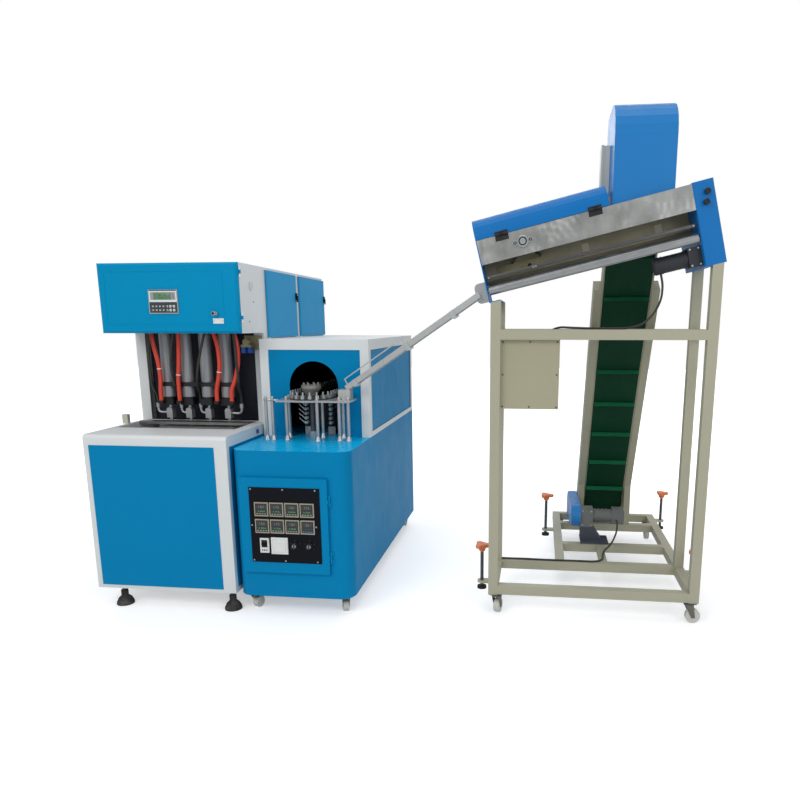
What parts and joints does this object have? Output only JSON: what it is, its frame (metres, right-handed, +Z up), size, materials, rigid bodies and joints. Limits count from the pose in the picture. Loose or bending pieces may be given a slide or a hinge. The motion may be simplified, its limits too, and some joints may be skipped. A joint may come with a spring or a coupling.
{
  "type": "stretch blow moulding line",
  "caption": "Semi-automatic stretch blow moulding line: blue blowing unit, infrared preform heater with turntable and an inclined-belt preform loader with roller unscrambler and chute.",
  "frame": {"origin": "on the floor, under the centre of the blowing unit's front left levelling foot", "axes": "+X along the line from the blowing unit to the loader, +Y from the operator's side to the back, +Z up"},
  "size_m": [3.353, 1.9314, 2.566],
  "materials": {
    "frame_grey": "satin light grey",
    "frame_cream": "satin cream",
    "machine_blue": "semi-gloss blue",
    "loader_blue": "semi-gloss blue",
    "panel_grey": "matt",
    "steel": "machined",
    "roller_steel": "turned",
    "dark_steel": "oiled",
    "stainless": "worn sheet",
    "grey_aluminium": "satin",
    "mould_aluminium": "machined",
    "black_anodised": "anodised",
    "valve_bronze": "dull",
    "black_rubber": "matt",
    "red_hose": "smooth",
    "black_hose": "smooth",
    "black_plate": "satin",
    "black_plastic": "matt",
    "orange_plastic": "gloss",
    "belt_green": "matt",
    "motor_grey": "satin"
  },
  "bodies": {
    "line": {"blower_cabinet": "frame_grey", "blower_tower": "frame_grey", "head_shell": "machine_blue", "blower_panels": "machine_blue", "stretch_cylinders": "grey_aluminium", "nozzle_blocks": "steel", "red_hoses": "red_hose", "black_hoses": "black_hose", "valves_and_sensors": "valve_bronze", "mould_bed": "steel", "heater_cabinet": "machine_blue", "oven_frame": "frame_grey", "oven_front": "machine_blue", "oven_panels": "machine_blue", "guide_plate": "steel", "guide_supports": "steel", "chain_band": "dark_steel", "preform_holders": "steel", "lamp_banks": "grey_aluminium", "loader_frame": "frame_cream", "unscrambler_body": "loader_blue", "side_plate": "stainless", "hopper_tower": "loader_blue", "gear_motors": "motor_grey", "elevator_frame": "frame_cream", "elevator_belt": "belt_green", "motor_cables": "black_hose", "chute": "steel", "casters_and_feet": "steel"},
    "control_door": {"control_door": "machine_blue", "operator_panel": "panel_grey"},
    "door_lock": {"door_lock": "steel"},
    "side_door_front": {"side_door_front": "machine_blue"},
    "side_door_rear": {"side_door_rear": "machine_blue"},
    "stretch_rod_1": {"stretch_rod_1": "steel"},
    "stretch_rod_2": {"stretch_rod_2": "steel"},
    "stretch_rod_3": {"stretch_rod_3": "steel"},
    "stretch_rod_4": {"stretch_rod_4": "steel"},
    "mould_front": {"mould_front": "mould_aluminium"},
    "mould_back": {"mould_back": "mould_aluminium"},
    "panel_door": {"panel_door": "machine_blue", "control_plate": "black_plate"},
    "selector_knob_left": {"selector_knob_left": "black_plastic"},
    "selector_knob_right": {"selector_knob_right": "black_plastic"},
    "oven_wheel_front": {"oven_wheel_front": "dark_steel"},
    "oven_wheel_rear": {"oven_wheel_rear": "dark_steel"},
    "unscrambler_cover": {"unscrambler_cover": "loader_blue"},
    "roller_front": {"roller_front": "roller_steel"},
    "roller_rear": {"roller_rear": "roller_steel"},
    "paddle_wheel": {"paddle_wheel": "black_plastic"},
    "head_pulley": {"head_pulley": "roller_steel"},
    "tail_pulley": {"tail_pulley": "roller_steel"},
    "jack_front_left": {"jack_front_left": "orange_plastic"},
    "jack_front_right": {"jack_front_right": "orange_plastic"},
    "jack_rear_left": {"jack_rear_left": "orange_plastic"},
    "jack_rear_right": {"jack_rear_right": "orange_plastic"},
    "caster_fork_left": {"caster_fork_left": "steel"},
    "caster_wheel_left": {"caster_wheel_left": "black_rubber"},
    "caster_fork_right": {"caster_fork_right": "steel"},
    "caster_wheel_right": {"caster_wheel_right": "black_rubber"}
  },
  "joints": [
    {"name": "control_door_swing", "type": "hinge", "parent": "line", "child": "control_door", "pos_m": [0.677, 0.24825, 1.69], "axis": [0, 0, 1], "range_deg": [0, 110]},
    {"name": "door_lock_turn", "type": "hinge", "parent": "control_door", "child": "door_lock", "pos_m": [0.542, 0.224, 1.592], "axis": [0, 1, 0], "range_deg": [0, 90]},
    {"name": "side_door_front_swing", "type": "hinge", "parent": "line", "child": "side_door_front", "pos_m": [0.678, 0.599, 1.6505], "axis": [0, 0, -1], "range_deg": [0, 90]},
    {"name": "side_door_rear_swing", "type": "hinge", "parent": "line", "child": "side_door_rear", "pos_m": [0.678, 1.15, 1.6505], "axis": [0, 0, -1], "range_deg": [0, 90]},
    {"name": "stretch_1", "type": "slide", "parent": "line", "child": "stretch_rod_1", "axis": [0, 0, -1], "range_m": [0, 0.22]},
    {"name": "stretch_2", "type": "slide", "parent": "line", "child": "stretch_rod_2", "axis": [0, 0, -1], "range_m": [0, 0.22]},
    {"name": "stretch_3", "type": "slide", "parent": "line", "child": "stretch_rod_3", "axis": [0, 0, -1], "range_m": [0, 0.22]},
    {"name": "stretch_4", "type": "slide", "parent": "line", "child": "stretch_rod_4", "axis": [0, 0, -1], "range_m": [0, 0.22]},
    {"name": "mould_front_open", "type": "slide", "parent": "line", "child": "mould_front", "axis": [0, -1, 0], "range_m": [0, 0.08]},
    {"name": "mould_back_open", "type": "slide", "parent": "line", "child": "mould_back", "axis": [0, 1, 0], "range_m": [0, 0.08]},
    {"name": "panel_door_swing", "type": "hinge", "parent": "line", "child": "panel_door", "pos_m": [1.2123, -0.0403, 0.496], "axis": [0, 0, 1], "range_deg": [0, 100]},
    {"name": "selector_left_turn", "type": "hinge", "parent": "panel_door", "child": "selector_knob_left", "pos_m": [1.023, -0.055, 0.396], "axis": [0, 1, 0], "range_deg": [-45, 45]},
    {"name": "selector_right_turn", "type": "hinge", "parent": "panel_door", "child": "selector_knob_right", "pos_m": [1.103, -0.055, 0.396], "axis": [0, 1, 0], "range_deg": [-45, 45]},
    {"name": "oven_wheel_front_spin", "type": "hinge", "parent": "line", "child": "oven_wheel_front", "pos_m": [0.993, 0.396, 1.128], "axis": [0, 0, 1], "continuous": true},
    {"name": "oven_wheel_rear_spin", "type": "hinge", "parent": "line", "child": "oven_wheel_rear", "pos_m": [0.993, 1.526, 1.128], "axis": [0, 0, 1], "continuous": true},
    {"name": "cover_lift", "type": "hinge", "parent": "line", "child": "unscrambler_cover", "pos_m": [2.27073, 0.084, 2.00679], "axis": [0.9724, 0, 0.2334], "range_deg": [0, 110]},
    {"name": "roller_front_spin", "type": "hinge", "parent": "line", "child": "roller_front", "pos_m": [2.5117, 0.114, 1.81268], "axis": [0.9724, 0, 0.2334], "continuous": true},
    {"name": "roller_rear_spin", "type": "hinge", "parent": "line", "child": "roller_rear", "pos_m": [2.50796, 0.19, 1.82824], "axis": [0.9724, 0, 0.2334], "continuous": true},
    {"name": "paddle_spin", "type": "hinge", "parent": "line", "child": "paddle_wheel", "pos_m": [2.1829, 0.192, 1.92708], "axis": [0, 1, 0], "continuous": true},
    {"name": "head_pulley_spin", "type": "hinge", "parent": "line", "child": "head_pulley", "pos_m": [2.744, 0.296, 2.29], "axis": [1, 0, 0], "continuous": true},
    {"name": "tail_pulley_spin", "type": "hinge", "parent": "line", "child": "tail_pulley", "pos_m": [2.744, 1.486, 0.25], "axis": [1, 0, 0], "continuous": true},
    {"name": "jack_front_left_down", "type": "slide", "parent": "line", "child": "jack_front_left", "axis": [0, 0, -1], "range_m": [0, 0.118]},
    {"name": "jack_front_right_down", "type": "slide", "parent": "line", "child": "jack_front_right", "axis": [0, 0, -1], "range_m": [0, 0.062]},
    {"name": "jack_rear_left_down", "type": "slide", "parent": "line", "child": "jack_rear_left", "axis": [0, 0, -1], "range_m": [0, 0.118]},
    {"name": "jack_rear_right_down", "type": "slide", "parent": "line", "child": "jack_rear_right", "axis": [0, 0, -1], "range_m": [0, 0.1]},
    {"name": "caster_left_swivel", "type": "hinge", "parent": "line", "child": "caster_fork_left", "pos_m": [2.076, 0.111, 0.09], "axis": [0, 0, 1], "continuous": true},
    {"name": "caster_left_roll", "type": "hinge", "parent": "caster_fork_left", "child": "caster_wheel_left", "pos_m": [2.08169, 0.13225, 0.038], "axis": [0.9659, -0.2588, 0], "continuous": true},
    {"name": "caster_right_swivel", "type": "hinge", "parent": "line", "child": "caster_fork_right", "pos_m": [3.081, 0.111, 0.09], "axis": [0, 0, 1], "continuous": true},
    {"name": "caster_right_roll", "type": "hinge", "parent": "caster_fork_right", "child": "caster_wheel_right", "pos_m": [3.10292, 0.11292, 0.038], "axis": [0.0872, -0.9962, 0], "continuous": true}
  ],
  "couplings": [
    {"joint": "mould_back_open", "follows": "mould_front_open", "ratio": 1},
    {"joint": "oven_wheel_rear_spin", "follows": "oven_wheel_front_spin", "ratio": 1},
    {"joint": "roller_rear_spin", "follows": "roller_front_spin", "ratio": -1},
    {"joint": "tail_pulley_spin", "follows": "head_pulley_spin", "ratio": 1},
    {"joint": "stretch_2", "follows": "stretch_1", "ratio": 1},
    {"joint": "stretch_3", "follows": "stretch_1", "ratio": 1},
    {"joint": "stretch_4", "follows": "stretch_1", "ratio": 1}
  ]
}
